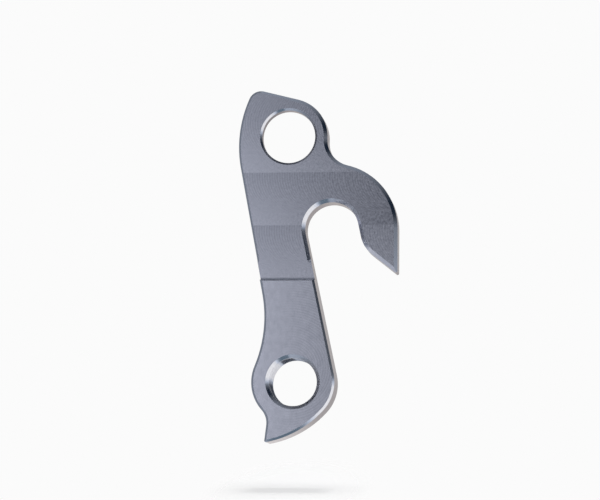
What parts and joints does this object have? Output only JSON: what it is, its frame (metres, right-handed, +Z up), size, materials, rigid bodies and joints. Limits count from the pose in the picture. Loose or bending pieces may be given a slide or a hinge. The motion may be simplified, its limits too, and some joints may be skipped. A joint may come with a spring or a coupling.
{
  "type": "bicycle derailleur hanger",
  "caption": "Machined aluminium derailleur hanger: a plate with a frame bolt hole, a hooked axle slot, and a stepped boss with a threaded derailleur hole and a stop tail.",
  "frame": {"origin": "axis of the frame bolt hole, in the outboard face of the tab", "axes": "+X to the front of the bicycle, +Z up, -Y outboard along the frame bolt and the derailleur bolt"},
  "size_m": [0.0299, 0.007, 0.0661],
  "materials": {
    "machined_aluminium": "face-milled, satin"
  },
  "bodies": {
    "root": {"hanger": "machined_aluminium"}
  },
  "joints": []
}
